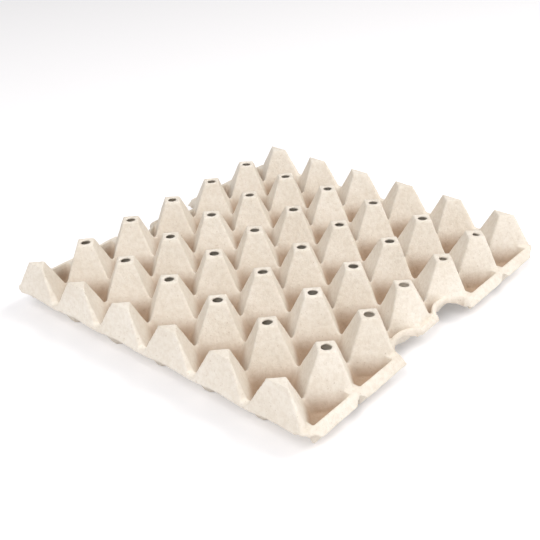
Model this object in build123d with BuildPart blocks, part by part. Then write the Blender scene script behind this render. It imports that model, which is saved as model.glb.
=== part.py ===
"""Moulded pulp egg tray: thirty cups between posts, in one thin shell.

X runs along the six cups of a row and Y across the five rows. Z is up, and the
origin is in the middle of the tray, on the surface that it stands on.
"""

import os
from math import atan, cos, degrees, radians, sqrt, tan

from build123d import *

os.makedirs("parts", exist_ok=True)

# Driving dimensions, in millimetres and degrees
columns = 6
rows = 5
pitch = 47.5
height = 45.0
wall = 2.0

# Posts: the flat tip is a diamond with a round hole
tip_half_diagonal = 8.8
tip_hole_radius = 3.7
saddle_depth = 25.0

# Cups
corner_radius = 4.0

# Plain sides, which close the half posts, and the lip at their foot
side_draft = 12.0
side_depth = 22.5
side_reach = 6.5
lip_slope = 35.0
notch_depth = 23.0

# Flanges outside the first and last row: a crest, a skirt and shallow pockets
crest_depth = 24.0
crest_width = 2.0
skirt_reach = 5.0
skirt_depth = 7.0
skirt_rim = 0.8
pocket_floor = 8.0
pocket_draft = 8.0
ledge_reach = 5.0
plan_radius = 13.0

# Arches, which run out from each post through the lower edge of the skirt
arch_slope = 33.0
arch_fall = 5.0

# Finger holds: a scallop in each of the two middle pockets, and a set-back nose between them
scallop_x = 27.0
scallop_radius = 19.0
scallop_reach = 14.0
scallop_draft = 20.0
scallop_depth = 3.5
scallop_edge_slope = 17.0
scallop_pocket_floor = 12.0
nose_setback = 5.5
nose_reach = 2.5
nose_depth = 4.5
nose_half_length = 9.5
nose_core_slope = 45.0
groove_width = 2.5
groove_depth = 4.0

# Sizes worked out from the driving ones
half_length = columns * pitch / 2
half_width = rows * pitch / 2
crest_y = half_width + pitch / 2
overall_length = 2 * (half_length + side_reach)
overall_width = 2 * (crest_y + skirt_reach)
crest_z = height - crest_depth
skirt_slope = degrees(atan((skirt_depth - skirt_rim) / (skirt_reach - crest_width / 2)))
corner_retreat = (sqrt(2) - 1) * corner_radius
ridge_slope = (pitch / 2 - tip_half_diagonal - corner_retreat) / saddle_depth
face_draft = degrees(atan(ridge_slope / sqrt(2)))
scallop_y = scallop_reach - scallop_radius
far_below = 2 * height

# Middles of the cells, of the plain and of the scalloped pockets, and of the arches
cell_y = [pitch * (i - (rows - 1) / 2) for i in range(rows)]
cell_x = [pitch * (i - (columns - 1) / 2) for i in range(columns)]
plain_x = [x for x in cell_x if abs(x) > pitch]
scalloped_x = [x for x in cell_x if abs(x) < pitch]
arch_x = [pitch * (i - columns / 2) for i in range(columns + 1) if abs(i - columns / 2) > 1]


def flange_places(positions):
    """One place for each position on both flanges, its +Y axis towards the middle."""
    near = [Location((x, -crest_y)) for x in positions]
    far = [Location((x, crest_y), 180) for x in positions]
    return Locations(*near, *far)


def side_places(positions):
    """One place for each position on both plain sides, its -X axis towards the outside."""
    left = [Location((cell_x[0], y)) for y in positions]
    right = [Location((cell_x[-1], y), 180) for y in positions]
    return Locations(*left, *right)


def side_section(inset):
    """Section across X: draft on the plain sides, then the lip that flares out."""
    foot_x = half_length + side_depth * tan(radians(side_draft))
    foot_z = height - side_depth
    flare = (foot_z + far_below) / tan(radians(lip_slope))
    with BuildSketch(Plane.XZ) as section:
        with BuildLine():
            Polyline(
                (0, height),
                (half_length, height),
                (foot_x, foot_z),
                (foot_x + flare, -far_below),
                (0, -far_below),
            )
            mirror(about=Plane.YZ)
        make_face()
        if inset:
            offset(amount=-inset, kind=Kind.INTERSECTION)
    return section.sketch


def flange_section(inset, setback):
    """Section across Y: the block that holds the posts, the crest and the skirt."""
    inner_y = crest_y - crest_width / 2 - setback
    outer_y = inner_y + crest_width
    flare = (crest_z + far_below) / tan(radians(skirt_slope))
    with BuildSketch(Plane.YZ) as section:
        with BuildLine():
            Polyline(
                (0, height),
                (inner_y, height),
                (inner_y, crest_z),
                (outer_y, crest_z),
                (outer_y + flare, -far_below),
                (0, -far_below),
            )
            mirror(about=Plane.YZ)
        make_face()
        if inset:
            offset(amount=-inset, kind=Kind.INTERSECTION)
    return section.sketch


def arch():
    """Room under one arch: a roof under the crest, which falls a little towards the outside."""
    ridge_z = -wall / cos(radians(arch_slope))
    eave_x = pitch / 2
    eave_z = ridge_z - eave_x * tan(radians(arch_slope))
    with BuildPart() as room:
        with BuildSketch(Plane.XZ):
            with BuildLine():
                Polyline((0, ridge_z), (eave_x, eave_z), (-eave_x, eave_z), close=True)
            make_face()
        extrude(amount=3 * skirt_reach, both=True)
    return room.part.rotate(Axis.X, arch_fall)


def room_under_faces(inset):
    """Room under the sides, crests and skirts, all moved in by inset."""
    sides = extrude(side_section(inset), amount=overall_width, both=True)
    flanges = flange_section(inset, 0)
    noses = flange_section(inset, nose_setback)
    with BuildPart() as room:
        extrude(flanges, amount=overall_length, both=True)
        Box(pitch, 2 * overall_width, 4 * far_below, mode=Mode.SUBTRACT)
        extrude(noses, amount=pitch / 2, both=True)
        add(sides, mode=Mode.INTERSECT)
    return room.part


def cone(crest_radius, draft, top_z):
    """Round space on a vertical axis, whose radius is given at the height of the crest."""
    foot_radius = crest_radius - crest_z * tan(radians(draft))
    top_radius = crest_radius + (top_z - crest_z) * tan(radians(draft))
    upright = (Align.CENTER, Align.CENTER, Align.MIN)
    return Cone(foot_radius, top_radius, top_z, align=upright)


def plan_outline():
    """Outline of the tray seen from above, set back at both noses."""
    with BuildSketch(Plane.XY) as outline:
        RectangleRounded(overall_length, overall_width, plan_radius)
        with Locations((0, overall_width / 2), (0, -overall_width / 2)):
            Rectangle(pitch, 2 * (nose_setback + skirt_reach - nose_reach), mode=Mode.SUBTRACT)
    return outline.sketch


def outer_form():
    """The tray as a solid block, with its scallops but without cups and pockets."""
    outline = plan_outline()
    room = room_under_faces(0)
    scallop = cone(scallop_radius, scallop_draft, crest_z + wall)
    with BuildPart() as form:
        extrude(outline, amount=height)
        add(room, mode=Mode.INTERSECT)
        with flange_places([-scallop_x, scallop_x]):
            with Locations((0, scallop_y)):
                add(scallop, mode=Mode.SUBTRACT)
    return form.part


def under_scallop_wall():
    """Room below the lower edge of a scallop's wall, which falls towards the outside."""
    fall = tan(radians(scallop_edge_slope))
    edge_z = crest_z - scallop_depth
    deepest_y = scallop_reach
    inner_y = deepest_y + wall
    outer_y = -2 * skirt_reach
    with BuildPart() as room:
        with BuildSketch(Plane.YZ):
            with BuildLine():
                Polyline(
                    (inner_y, 0),
                    (inner_y, edge_z + (inner_y - deepest_y) * fall),
                    (outer_y, edge_z + (outer_y - deepest_y) * fall),
                    (outer_y, 0),
                    close=True,
                )
            make_face()
        extrude(amount=scallop_radius + wall, both=True)
    return room.part


def under_edge(length, depth):
    """Room outside the middle of a crest, and deeper than depth below it."""
    lowered = (Align.CENTER, Align.MAX, Align.MAX)
    with BuildPart() as room:
        with Locations((0, 0, crest_z - depth)):
            Box(length, 3 * skirt_reach, far_below, align=lowered)
    return room.part


def arches():
    """Room under all the arches, between the inner faces of the plain sides."""
    one_arch = arch()
    sides = extrude(side_section(wall), amount=overall_width, both=True)
    with BuildPart() as room:
        with flange_places(arch_x):
            with Locations((0, crest_width / 2, crest_z)):
                add(one_arch)
        add(sides, mode=Mode.INTERSECT)
    return room.part


def hollow_below():
    """Room under the shell of the sides and flanges."""
    room = room_under_faces(wall)
    back_radius = scallop_radius + wall / cos(radians(scallop_draft))
    scallop_back = cone(back_radius, scallop_draft, crest_z + wall)
    below_edge = under_scallop_wall()
    below_skirt = under_edge(overall_length, skirt_depth)
    below_nose = under_edge(pitch, nose_depth)
    below_arches = arches()
    with BuildPart() as hollow:
        add(room)
        add(below_arches)
        with flange_places([-scallop_x, scallop_x]):
            with Locations((0, scallop_y)):
                add(scallop_back, mode=Mode.SUBTRACT)
            add(below_edge)
        with flange_places([0]):
            add(below_skirt)
            with Locations((0, nose_setback)):
                add(below_nose)
    return hollow.part


def cup_space(grow, floor):
    """Room inside one cup, its walls moved out by grow, down to the height of its floor."""
    top_half = (pitch - tip_half_diagonal) / sqrt(2) + grow / cos(radians(face_draft))
    floor_half = top_half - (height - floor) * tan(radians(face_draft))
    with BuildPart() as space:
        for plane, mode in ((Plane.XZ, Mode.ADD), (Plane.YZ, Mode.INTERSECT)):
            with BuildSketch(plane) as section:
                with BuildLine():
                    Polyline(
                        (-top_half, height),
                        (-floor_half, floor),
                        (floor_half, floor),
                        (top_half, height),
                        close=True,
                    )
                make_face()
            extrude(section.sketch, amount=pitch, both=True, mode=mode)
        upright = space.edges().filter_by(lambda edge: abs(edge.tangent_at(0.5).Z) > 0.5)
        if grow:
            chamfer(upright, length=(2 - sqrt(2)) * (corner_radius + grow))
        else:
            fillet(upright, radius=corner_radius)
    return space.part.rotate(Axis.Z, 45)


def notch_space(grow, depth):
    """Notch through a plain side, between the ridges of two half posts."""
    floor_z = height - depth - grow
    top_half = pitch / 2 - tip_half_diagonal + grow / cos(atan(ridge_slope))
    floor_half = top_half - (height - floor_z) * ridge_slope
    with BuildPart() as space:
        with BuildSketch(Plane.YZ):
            with BuildLine():
                Polyline(
                    (-top_half, height),
                    (-floor_half, floor_z),
                    (floor_half, floor_z),
                    (top_half, height),
                    close=True,
                )
            make_face()
        extrude(amount=-pitch)
    return space.part


def lip_side(grow, setback):
    """Room above the crest, and below it the tray's side of the lip, between two ledges."""
    lean = tan(radians(pocket_draft))
    side_grow = grow / cos(radians(pocket_draft))
    face_y = setback + crest_width / 2 - side_grow
    end_x = pitch / 2 - ledge_reach + side_grow
    ledge_z = crest_z - grow
    with BuildPart() as room:
        with BuildSketch(Plane.YZ):
            with BuildLine():
                Polyline(
                    (face_y, crest_z),
                    (face_y + crest_z * lean, 0),
                    (pitch, 0),
                    (pitch, crest_z),
                    close=True,
                )
            make_face()
        extrude(amount=pitch, both=True)
        with BuildSketch(Plane.XZ) as ends:
            with BuildLine():
                Polyline(
                    (-end_x, crest_z),
                    (-end_x + crest_z * lean, 0),
                    (end_x - crest_z * lean, 0),
                    (end_x, crest_z),
                    close=True,
                )
            make_face()
        extrude(ends.sketch, amount=pitch, both=True, mode=Mode.INTERSECT)
        with Locations((0, 0, ledge_z)):
            Box(2 * pitch, 2 * pitch, height - ledge_z, align=(Align.CENTER, Align.CENTER, Align.MIN))
    return room.part


def pocket_space(grow, floor, setback):
    """Room inside one pocket: the inner half of a cup, closed by the lip."""
    cup = cup_space(grow, floor - grow)
    inside = lip_side(grow, setback)
    with BuildPart() as space:
        add(cup)
        add(inside, mode=Mode.INTERSECT)
    return space.part


def groove_space(grow):
    """Groove between a nose and the foot of its post, which joins two scalloped pockets."""
    lean = tan(radians(pocket_draft))
    side_grow = grow / cos(radians(pocket_draft))
    floor_z = crest_z - groove_depth - grow
    crest_side = nose_setback + crest_width / 2 - side_grow
    post_side = nose_setback + crest_width / 2 + groove_width + side_grow
    with BuildPart() as space:
        with BuildSketch(Plane.YZ):
            with BuildLine():
                Polyline(
                    (crest_side, height),
                    (crest_side, crest_z),
                    (crest_side + (crest_z - floor_z) * lean, floor_z),
                    (post_side - (crest_z - floor_z) * lean, floor_z),
                    (post_side + groove_depth * lean, height),
                    close=True,
                )
            make_face()
        extrude(amount=nose_half_length + 1 + grow, both=True)
    return space.part


def nose_core(grow):
    """Block below the crest between two scalloped pockets, which end at its faces."""
    lean = tan(radians(nose_core_slope))
    top_z = crest_z - grow
    top_x = nose_half_length - grow * tan(radians(nose_core_slope / 2))
    with BuildPart() as core:
        with BuildSketch(Plane.XZ):
            with BuildLine():
                Polyline(
                    (-top_x, top_z),
                    (-top_x - top_z * lean, 0),
                    (top_x + top_z * lean, 0),
                    (top_x, top_z),
                    close=True,
                )
            make_face()
        extrude(amount=pitch, both=True)
    return core.part


def hold_space(grow):
    """Room inside the two scalloped pockets of a finger hold, and the groove between them."""
    pocket = pocket_space(grow, scallop_pocket_floor, nose_setback)
    crescent = cone(scallop_radius + crest_width - grow, -pocket_draft, crest_z - grow)
    groove = groove_space(grow)
    core = nose_core(grow)
    with BuildPart() as space:
        with Locations(*[(x, 0) for x in scalloped_x]):
            add(pocket)
        with Locations((-scallop_x, scallop_y), (scallop_x, scallop_y)):
            add(crescent, mode=Mode.SUBTRACT)
        add(core, mode=Mode.SUBTRACT)
        add(groove)
    return space.part


outer = outer_form()
hollow = hollow_below()
cup_shell = cup_space(wall, -wall)
cup_room = cup_space(0, wall)
pocket_shell = pocket_space(wall, pocket_floor, 0)
pocket_room = pocket_space(0, pocket_floor, 0)
hold_shell = hold_space(wall)
hold_room = hold_space(0)
notch_shell = notch_space(wall, notch_depth)
notch_room = notch_space(0, notch_depth)
corner_shell = notch_space(wall, crest_depth)
corner_room = notch_space(0, crest_depth)

# What is left of the hollow between the shells of the cups, pockets and notches
with BuildPart() as room_below:
    add(hollow)
    with GridLocations(pitch, pitch, columns, rows):
        add(cup_shell, mode=Mode.SUBTRACT)
    with flange_places(plain_x):
        add(pocket_shell, mode=Mode.SUBTRACT)
    with flange_places([0]):
        add(hold_shell, mode=Mode.SUBTRACT)
    with side_places(cell_y):
        add(notch_shell, mode=Mode.SUBTRACT)
    with side_places([-crest_y, crest_y]):
        add(corner_shell, mode=Mode.SUBTRACT)

with BuildPart() as egg_tray:
    add(outer)
    add(room_below.part, mode=Mode.SUBTRACT)

    # Room inside the cups, pockets, finger holds and notches
    with GridLocations(pitch, pitch, columns, rows):
        add(cup_room, mode=Mode.SUBTRACT)
    with flange_places(plain_x):
        add(pocket_room, mode=Mode.SUBTRACT)
    with flange_places([0]):
        add(hold_room, mode=Mode.SUBTRACT)
    with side_places(cell_y):
        add(notch_room, mode=Mode.SUBTRACT)
    with side_places([-crest_y, crest_y]):
        add(corner_room, mode=Mode.SUBTRACT)

    # Holes in the tips of the whole posts
    with GridLocations(pitch, pitch, columns - 1, rows + 1):
        Cylinder(tip_hole_radius, 3 * height, mode=Mode.SUBTRACT)

egg_tray.part.label = "egg_tray"
export_step(egg_tray.part, "parts/egg_tray.step")
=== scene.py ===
"""Looks of the moulded pulp egg tray: one soft shell of grey-white pulp on a plain floor."""
from math import cos, pi, radians, sin

import bpy
import numpy as np
from mathutils import Matrix, Vector


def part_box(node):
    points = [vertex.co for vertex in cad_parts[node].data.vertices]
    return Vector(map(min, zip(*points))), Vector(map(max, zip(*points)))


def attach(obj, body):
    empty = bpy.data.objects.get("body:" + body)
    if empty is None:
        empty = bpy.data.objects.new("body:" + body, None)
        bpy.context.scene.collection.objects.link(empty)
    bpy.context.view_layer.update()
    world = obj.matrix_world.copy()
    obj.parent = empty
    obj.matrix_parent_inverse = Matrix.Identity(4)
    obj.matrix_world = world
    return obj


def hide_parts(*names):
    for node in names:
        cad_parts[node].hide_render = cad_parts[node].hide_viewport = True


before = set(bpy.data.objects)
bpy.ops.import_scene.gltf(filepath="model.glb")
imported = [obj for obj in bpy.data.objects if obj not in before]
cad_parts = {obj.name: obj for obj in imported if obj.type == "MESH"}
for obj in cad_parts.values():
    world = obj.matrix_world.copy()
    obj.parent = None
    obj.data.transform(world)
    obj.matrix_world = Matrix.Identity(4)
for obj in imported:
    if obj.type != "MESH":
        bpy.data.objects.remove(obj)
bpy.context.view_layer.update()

MM = 0.001
TRAY = "egg_tray"
LOW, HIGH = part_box(TRAY)

# The tray's own measures, in metres, as the construction has them
PITCH = 47.5 * MM
COLUMNS = 6
ROWS = 5
TIP_HOLE_RADIUS = 3.7 * MM
SADDLE_DEPTH = 25 * MM
CREST_DEPTH = 24 * MM
SIDE_FOLD_REACH = 4.8 * MM
HALF_LENGTH = COLUMNS * PITCH / 2
HALF_WIDTH = ROWS * PITCH / 2
SIDE_FOLD_X = HALF_LENGTH + SIDE_FOLD_REACH
CREST_Y = HALF_WIDTH + PITCH / 2
SADDLE_Z = HIGH.z - SADDLE_DEPTH
CREST_Z = HIGH.z - CREST_DEPTH

# Shell: voxel size, smoothing passes at the rim and elsewhere, and the triangles that are kept
VOXEL = 0.8 * MM
RIM_PASSES = 5
BODY_PASSES = 15
TRIANGLES = 190000

# Posts: the usual random lean, how it grows with height, and the post that leans further
POST_LEAN = 0.45 * MM
LEAN_POWER = 1.3
BENT_POST = (3, 0)
BENT_POST_LEAN = np.array([-0.6, 3.0]) * MM

# Torn tip holes: column from the middle, turn of the tear, how far it closes the hole
TORN_HOLES = ((1, 0.6, 0.32), (2, 2.4, 0.55))
TEAR_REACH = 2.2 * MM
TEAR_SAG = 0.8 * MM

# Rim: length and height of its long and short waves, and its rise at the foot of each half post
LONG_WAVE, LONG_WAVE_HEIGHT = 60 * MM, 0.5 * MM
SHORT_WAVE, SHORT_WAVE_HEIGHT = 17 * MM, 0.3 * MM
FOOT_RISE = 0.8 * MM

# Wall: size and height of its slow drift, of its bends, and of the lumps and pimples of its skin
DRIFT, DRIFT_HEIGHT = 45 * MM, 0.35 * MM
BEND, BEND_HEIGHT = 13 * MM, 0.22 * MM
LUMP, LUMP_HEIGHT = 4.5 * MM, 0.10 * MM
PIMPLE, PIMPLE_HEIGHT = 2.2 * MM, 0.07 * MM

# Sockets of a colour mix node
MIX_FIRST, MIX_SECOND, MIX_RESULT = 6, 7, 2


def ease(t):
    """Smooth step of shares from 0 to 1."""
    return t * t * (3 - 2 * t)


def rise(values, low, high):
    """Smooth step of the values, from 0 at low to 1 at high."""
    return ease(np.clip((values - low) / (high - low), 0, 1))


def value_noise(points, size, seed):
    """Smooth random values from -1 to 1 at the points, with features about as large as size."""
    count = 32
    past_zero = 1000
    table = np.random.default_rng(seed).uniform(-1, 1, (count, count, count))
    scaled = points / size + past_zero
    cell = np.floor(scaled).astype(int)
    t = ease(scaled - cell)
    total = np.zeros(len(points))
    for corner in range(8):
        step = np.array([corner & 1, corner >> 1 & 1, corner >> 2 & 1])
        weight = np.prod(np.where(step, t, 1 - t), axis=1)
        index = (cell + step) % count
        total += weight * table[index[:, 0], index[:, 1], index[:, 2]]
    return total


def noise_vectors(points, size, seed):
    """Three independent smooth random values for each point."""
    return np.stack([value_noise(points, size, seed + axis) for axis in range(3)], axis=1)


def apply_modifier(piece):
    """Replace the piece's mesh by what its modifiers make of it."""
    graph = bpy.context.evaluated_depsgraph_get()
    made = bpy.data.meshes.new_from_object(piece.evaluated_get(graph), depsgraph=graph)
    old = piece.data
    piece.modifiers.clear()
    piece.data = made
    bpy.data.meshes.remove(old)


def voxel_copy(node, name):
    """A new piece: the node's solid as an even mesh of small quads."""
    piece = bpy.data.objects.new(name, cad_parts[node].data.copy())
    bpy.context.scene.collection.objects.link(piece)
    remesh = piece.modifiers.new("remesh", "REMESH")
    remesh.mode = "VOXEL"
    remesh.voxel_size = VOXEL
    apply_modifier(piece)
    return piece


def read_rows(items, name, width, kind=float):
    """The named values of a mesh's vertices or edges, one row for each."""
    flat = np.zeros(len(items) * width, kind)
    items.foreach_get(name, flat)
    return flat.reshape(-1, width)


def read_points(mesh):
    return read_rows(mesh.vertices, "co", 3)


def read_normals(mesh):
    return read_rows(mesh.vertices, "normal", 3)


def read_edges(mesh):
    return read_rows(mesh.edges, "vertices", 2, int)


def write_points(mesh, points):
    mesh.vertices.foreach_set("co", points.astype(np.float32).ravel())
    mesh.update()


def smooth(points, edges, passes):
    """Round the folds and keep the volume: each pass moves in, and then out a little more."""
    inwards, outwards = 0.6, -0.62
    count = len(points)
    both = np.concatenate([edges, edges[:, ::-1]])
    degree = np.maximum(np.bincount(both[:, 0], minlength=count), 1)
    for step in range(2 * passes):
        factor = inwards if step % 2 == 0 else outwards
        mean = np.stack(
            [np.bincount(both[:, 0], points[both[:, 1], axis], count) / degree for axis in range(3)],
            axis=1,
        )
        points = points + factor * (mean - points)
    return points


def rim_share(points):
    """How far each point belongs to the rim: 1 at the lips, skirts and noses, 0 further in."""
    side = rise(np.abs(points[:, 0]), HALF_LENGTH + 1 * MM, SIDE_FOLD_X)
    flange = rise(np.abs(points[:, 1]), CREST_Y - 14 * MM, CREST_Y - 8 * MM)
    low = 1 - rise(points[:, 2], CREST_Z + 2 * MM, CREST_Z + 8 * MM)
    return np.maximum(side, flange) * low


def lean_posts(points):
    """Each post leans by a fraction of a millimetre, and one on the near flange by more."""
    moved = points.copy()
    random = np.random.default_rng(41)
    column = np.rint(points[:, 0] / PITCH)
    row = np.rint(points[:, 1] / PITCH - 0.5) + 0.5
    share = np.clip((points[:, 2] - SADDLE_Z) / (HIGH.z - SADDLE_Z), 0, 1) ** LEAN_POWER
    for i in range(COLUMNS + 1):
        for j in range(ROWS + 1):
            post_column = i - COLUMNS / 2
            post_row = j - ROWS / 2
            lean = random.normal(0, POST_LEAN, 2)
            if (i, j) == BENT_POST:
                lean = BENT_POST_LEAN
            mine = (column == post_column) & (row == post_row)
            moved[mine, 0] += lean[0] * share[mine]
            moved[mine, 1] += lean[1] * share[mine]
    return moved


def tear_holes(points):
    """Torn pulp narrows the holes in the last two posts of the near flange."""
    moved = points.copy()
    near_tip = rise(points[:, 2], HIGH.z - 4 * MM, HIGH.z - 1.5 * MM)
    for column, turn, depth in TORN_HOLES:
        middle = np.array([column * PITCH, -HALF_WIDTH])
        off = points[:, :2] - middle
        far = np.hypot(off[:, 0], off[:, 1])
        around = np.arctan2(off[:, 1], off[:, 0])
        flap = 0.55 + 0.3 * np.cos(around - turn)
        fringe = 0.22 * np.sin(3 * around + turn) + 0.1 * np.sin(7 * around)
        share = (1 - rise(far, TIP_HOLE_RADIUS, TIP_HOLE_RADIUS + TEAR_REACH)) * near_tip
        pull = depth * np.clip(flap + fringe, 0, 1) * share
        moved[:, :2] -= off * pull[:, None]
        moved[:, 2] -= TEAR_SAG * pull
    return moved


def wave_rim(points):
    """The lips and skirts rise and fall: higher at the foot of each post, lower between posts."""
    moved = points.copy()
    flat = points * np.array([1, 1, 0])
    long_wave = LONG_WAVE_HEIGHT * value_noise(flat, LONG_WAVE, seed=7)
    short_wave = SHORT_WAVE_HEIGHT * value_noise(flat, SHORT_WAVE, seed=8)
    side = rise(np.abs(points[:, 0]), SIDE_FOLD_X - 4 * MM, SIDE_FOLD_X + 1 * MM)
    flange = rise(np.abs(points[:, 1]), CREST_Y - 2 * MM, CREST_Y + 3 * MM)
    foot = np.cos(2 * pi * (points[:, 1] / PITCH - 0.5))
    moved[:, 2] += (long_wave + short_wave) * np.maximum(side, flange)
    moved[:, 2] += FOOT_RISE * foot * side * (1 - flange)
    return moved


def grain(points, normals):
    """Uneven pulp: the whole wall wanders a little, and its skin has soft lumps."""
    drift = DRIFT_HEIGHT * noise_vectors(points, DRIFT, seed=11)
    bend = BEND_HEIGHT * noise_vectors(points, BEND, seed=21)
    lumps = LUMP_HEIGHT * value_noise(points, LUMP, seed=31)
    pimples = PIMPLE_HEIGHT * value_noise(points, PIMPLE, seed=32)
    return points + drift + bend + normals * (lumps + pimples)[:, None]


def painted_shade_share(points, normals):
    """How deep each upper point lies in a cup or a pocket, from 0 at the posts to 1 at the floors:
    the share of painted shade there.
    """
    inside_x = 1 - rise(np.abs(points[:, 0]), HALF_LENGTH - 1 * MM, SIDE_FOLD_X - 1 * MM)
    inside_y = 1 - rise(np.abs(points[:, 1]), CREST_Y - 1.6 * MM, CREST_Y - 0.8 * MM)
    upper = rise(normals[:, 2], -0.1, 0.15)
    return upper * inside_x * inside_y * (1 - rise(points[:, 2], 8 * MM, CREST_Z + 2 * MM))


def make_tray():
    """The tray's shell, rounded, uneven and decimated, inside the box of its solid."""
    piece = voxel_copy(TRAY, "pulp_tray")
    mesh = piece.data
    edges = read_edges(mesh)
    sharper = smooth(read_points(mesh), edges, RIM_PASSES)
    rounder = smooth(sharper, edges, BODY_PASSES - RIM_PASSES)
    share = rim_share(sharper)[:, None]
    write_points(mesh, share * sharper + (1 - share) * rounder)
    points = grain(read_points(mesh), read_normals(mesh))
    points = wave_rim(lean_posts(tear_holes(points)))
    write_points(mesh, points)
    decimate = piece.modifiers.new("decimate", "DECIMATE")
    decimate.ratio = TRIANGLES / (2 * len(mesh.polygons))
    apply_modifier(piece)
    mesh = piece.data
    points = np.clip(read_points(mesh), np.array(LOW), np.array(HIGH))
    write_points(mesh, points)
    # Painted shade: the share by which the cups and pockets are darkened and browned towards their
    # floors.
    painted_shade = painted_shade_share(points, read_normals(mesh)).astype(np.float32)
    mesh.attributes.new("painted_shade", "FLOAT", "POINT").data.foreach_set("value", painted_shade)
    mesh.shade_smooth()
    return piece


def pulp_material():
    """Grey-white moulded pulp: fibres, small pits and specks, and hollows darkened and browned by
    painted shade.
    """
    material = bpy.data.materials.new("moulded_pulp")
    material.use_nodes = True
    nodes = material.node_tree.nodes
    links = material.node_tree.links
    shader = nodes["Principled BSDF"]
    shader.inputs["Roughness"].default_value = 0.92
    shader.inputs["Specular IOR Level"].default_value = 0.18
    place = nodes.new("ShaderNodeTexCoord").outputs["Object"]

    def noise(scale, detail, roughness=0.55):
        node = nodes.new("ShaderNodeTexNoise")
        node.inputs["Scale"].default_value = scale
        node.inputs["Detail"].default_value = detail
        node.inputs["Roughness"].default_value = roughness
        links.new(place, node.inputs["Vector"])
        return node.outputs["Fac"]

    def ramp(value, low, high, low_color, high_color):
        node = nodes.new("ShaderNodeValToRGB")
        node.color_ramp.elements[0].position = low
        node.color_ramp.elements[1].position = high
        node.color_ramp.elements[0].color = (*low_color, 1)
        node.color_ramp.elements[1].color = (*high_color, 1)
        links.new(value, node.inputs["Fac"])
        return node.outputs["Color"]

    def multiply(first, second, share=1.0):
        node = nodes.new("ShaderNodeMix")
        node.data_type = "RGBA"
        node.blend_type = "MULTIPLY"
        node.inputs["Factor"].default_value = share
        links.new(first, node.inputs[MIX_FIRST])
        links.new(second, node.inputs[MIX_SECOND])
        return node.outputs[MIX_RESULT]

    unchanged = (1, 1, 1)
    cloud = ramp(noise(26, 3), 0.35, 0.68, (0.85, 0.78, 0.68), (0.91, 0.85, 0.76))
    mottle = ramp(noise(310, 5, 0.65), 0.36, 0.60, (0.925, 0.905, 0.88), unchanged)
    speck = ramp(noise(800, 2, 0.5), 0.285, 0.33, (0.62, 0.54, 0.46), unchanged)
    # Painted shade: the cups and pockets turn darker and browner towards their floors.
    painted_shade = nodes.new("ShaderNodeAttribute")
    painted_shade.attribute_name = "painted_shade"
    shaded = ramp(painted_shade.outputs["Fac"], 0, 1, unchanged, (0.58, 0.47, 0.39))
    color = multiply(multiply(cloud, mottle), speck, share=0.5)
    links.new(multiply(color, shaded), shader.inputs["Base Color"])

    def bump(height, distance, strength, below=None):
        node = nodes.new("ShaderNodeBump")
        node.inputs["Distance"].default_value = distance
        node.inputs["Strength"].default_value = strength
        links.new(height, node.inputs["Height"])
        if below:
            links.new(below, node.inputs["Normal"])
        return node.outputs["Normal"]

    lumps = bump(noise(330, 3, 0.6), distance=0.5 * MM, strength=1.0)
    fibres = bump(noise(1400, 4, 0.65), distance=0.25 * MM, strength=0.8, below=lumps)
    links.new(fibres, shader.inputs["Normal"])
    return material


def studio_floor():
    """A wide plain floor: white to the camera, with the tray's soft shadow on it."""
    half = 6.0
    glow = 0.20
    mesh = bpy.data.meshes.new("floor")
    corners = [(-half, -half, 0), (half, -half, 0), (half, half, 0), (-half, half, 0)]
    mesh.from_pydata(corners, [], [(0, 1, 2, 3)])
    floor = bpy.data.objects.new("floor", mesh)
    bpy.context.scene.collection.objects.link(floor)
    material = bpy.data.materials.new("white_floor")
    material.use_nodes = True
    shader = material.node_tree.nodes["Principled BSDF"]
    shader.inputs["Base Color"].default_value = (0.945, 0.935, 0.95, 1)
    shader.inputs["Roughness"].default_value = 0.9
    shader.inputs["Emission Color"].default_value = (1, 1, 1, 1)
    nodes = material.node_tree.nodes
    links = material.node_tree.links
    path = nodes.new("ShaderNodeLightPath")
    strength = nodes.new("ShaderNodeMath")
    strength.operation = "MULTIPLY"
    strength.inputs[1].default_value = glow
    links.new(path.outputs["Is Camera Ray"], strength.inputs[0])
    links.new(strength.outputs[0], shader.inputs["Emission Strength"])
    mesh.materials.append(material)


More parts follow.
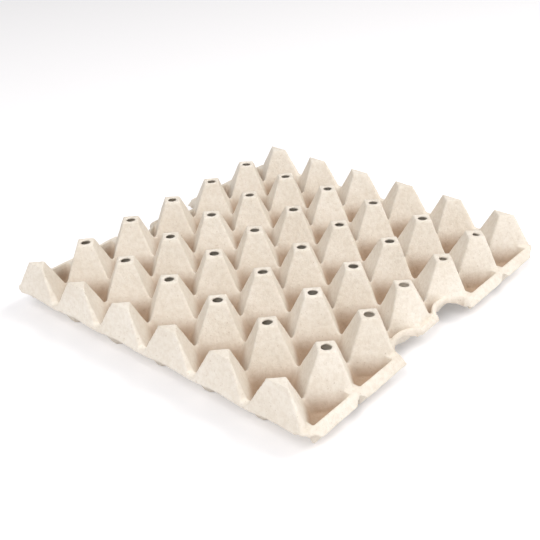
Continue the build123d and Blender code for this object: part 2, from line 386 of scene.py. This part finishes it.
def studio_world():
    """An even pale surrounding, plain white where the camera sees it."""
    world = bpy.data.worlds.new("studio")
    bpy.context.scene.world = world
    world.use_nodes = True
    nodes = world.node_tree.nodes
    links = world.node_tree.links
    fill = nodes["Background"]
    fill.inputs["Color"].default_value = (1.0, 0.99, 0.985, 1)
    fill.inputs["Strength"].default_value = 0.38
    white = nodes.new("ShaderNodeBackground")
    white.inputs["Color"].default_value = (1, 1, 1, 1)
    path = nodes.new("ShaderNodeLightPath")
    choose = nodes.new("ShaderNodeMixShader")
    links.new(path.outputs["Is Camera Ray"], choose.inputs[0])
    links.new(fill.outputs[0], choose.inputs[1])
    links.new(white.outputs[0], choose.inputs[2])
    links.new(choose.outputs[0], nodes["World Output"].inputs["Surface"])


def area_light(name, place, size, power, color):
    """A square soft lamp that faces the middle of the tray."""
    middle = Vector((0, 0, 0.02))
    lamp = bpy.data.lights.new(name, "AREA")
    lamp.size = size
    lamp.energy = power
    lamp.color = color
    piece = bpy.data.objects.new(name, lamp)
    bpy.context.scene.collection.objects.link(piece)
    piece.location = place
    piece.rotation_euler = (middle - Vector(place)).to_track_quat("-Z", "Y").to_euler()


def add_camera():
    """The photograph's viewpoint: metres, degrees and pixels of its frame; the sensor in mm."""
    position = Vector((-0.45763, -0.39725, 0.36470))
    azimuth, elevation, roll = radians(41.54), radians(29.89), radians(2.51)
    frame_size = 540
    focal_length = 878.0
    centre_u = 271.8
    sensor_width = 36
    ahead = Vector((cos(azimuth) * cos(elevation), sin(azimuth) * cos(elevation), -sin(elevation)))
    level_right = ahead.cross(Vector((0, 0, 1))).normalized()
    level_down = ahead.cross(level_right)
    right = cos(roll) * level_right + sin(roll) * level_down
    down = cos(roll) * level_down - sin(roll) * level_right
    camera = bpy.data.cameras.new("camera")
    camera.sensor_width = sensor_width
    camera.lens = sensor_width * focal_length / frame_size
    camera.shift_x = (frame_size / 2 - centre_u) / frame_size
    camera.clip_start = 0.01
    piece = bpy.data.objects.new("camera", camera)
    bpy.context.scene.collection.objects.link(piece)
    turn = Matrix((right, -down, -ahead)).transposed()
    piece.matrix_world = Matrix.Translation(position) @ turn.to_4x4()
    bpy.context.scene.camera = piece


add_camera()
tray = make_tray()
tray.data.materials.clear()
tray.data.materials.append(pulp_material())
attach(tray, "root")
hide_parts(TRAY)

studio_floor()
studio_world()
area_light("key", (0.9, -1.1, 1.6), size=1.1, power=21.5, color=(1.0, 0.98, 0.96))
area_light("low_side", (0.5, -1.8, 0.45), size=0.8, power=3, color=(1.0, 0.99, 0.98))
area_light("front_fill", (-1.4, -0.35, 1.6), size=1.2, power=24, color=(0.99, 0.99, 1.0))
bpy.context.scene.view_settings.view_transform = "Standard"
